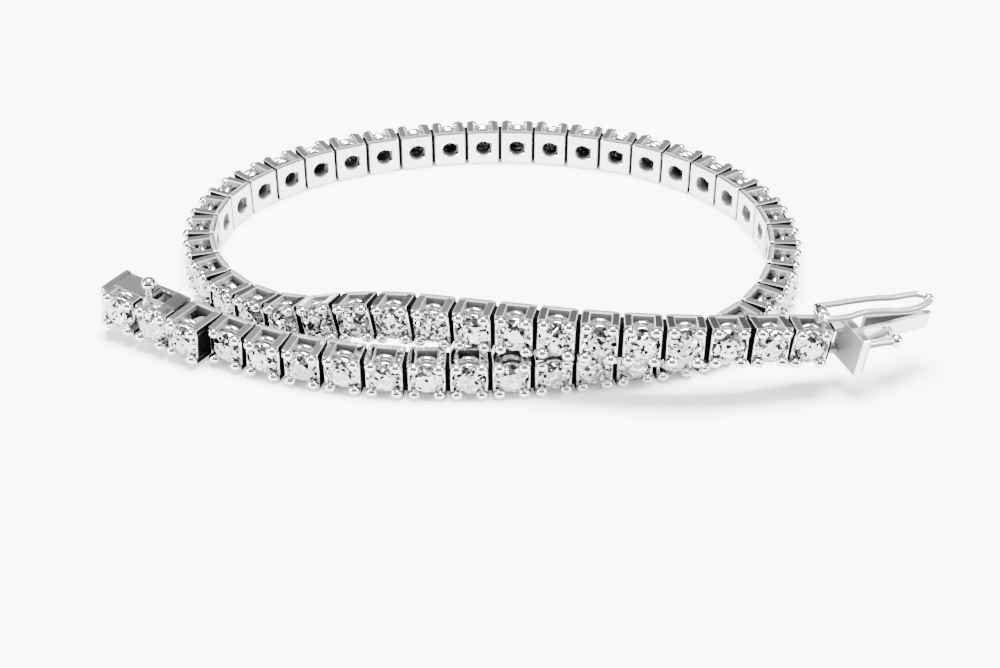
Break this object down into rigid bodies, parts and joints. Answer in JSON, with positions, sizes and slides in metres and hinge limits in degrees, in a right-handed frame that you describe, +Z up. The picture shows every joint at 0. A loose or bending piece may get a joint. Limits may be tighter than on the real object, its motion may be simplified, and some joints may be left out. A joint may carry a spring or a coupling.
{
  "type": "tennis bracelet",
  "caption": "Line bracelet of round stones in hinged four-prong settings, with a box clasp, sprung tongue and wire safety catch, lying open in a loop.",
  "frame": {"origin": "bottom centre of the bracelet as it lies: on the surface under the middle of its bounding box", "axes": "+X from the box end to the tongue end along the front of the loop, +Y from the crossed ends to the back of the loop, +Z up, across the width of the settings"},
  "size_m": [0.06, 0.0366, 0.0066],
  "materials": {
    "white_gold": "polished",
    "stones": "faceted and polished"
  },
  "bodies": {
    "bracelet": {"clasp_box": "white_gold", "box_side_setting": "white_gold", "strand_01": "white_gold", "strand_02": "white_gold", "strand_03": "white_gold", "strand_04": "white_gold", "strand_05": "white_gold", "strand_06": "white_gold", "strand_07": "white_gold", "strand_08": "white_gold", "strand_09": "white_gold", "strand_10": "white_gold", "strand_11": "white_gold", "strand_12": "white_gold", "strand_13": "white_gold", "strand_14": "white_gold", "strand_15": "white_gold", "strand_16": "white_gold", "strand_17": "white_gold", "strand_18": "white_gold", "catch_setting": "white_gold", "clasp_tongue": "white_gold"},
    "safety_catch": {"safety_catch": "white_gold"}
  },
  "joints": [
    {"name": "safety_catch_hinge", "type": "hinge", "parent": "bracelet", "child": "safety_catch", "pos_m": [0.02165, -0.01499, 0.00594], "axis": [0.2654, -0.9639, 0.0195], "range_deg": [0, 140]}
  ]
}
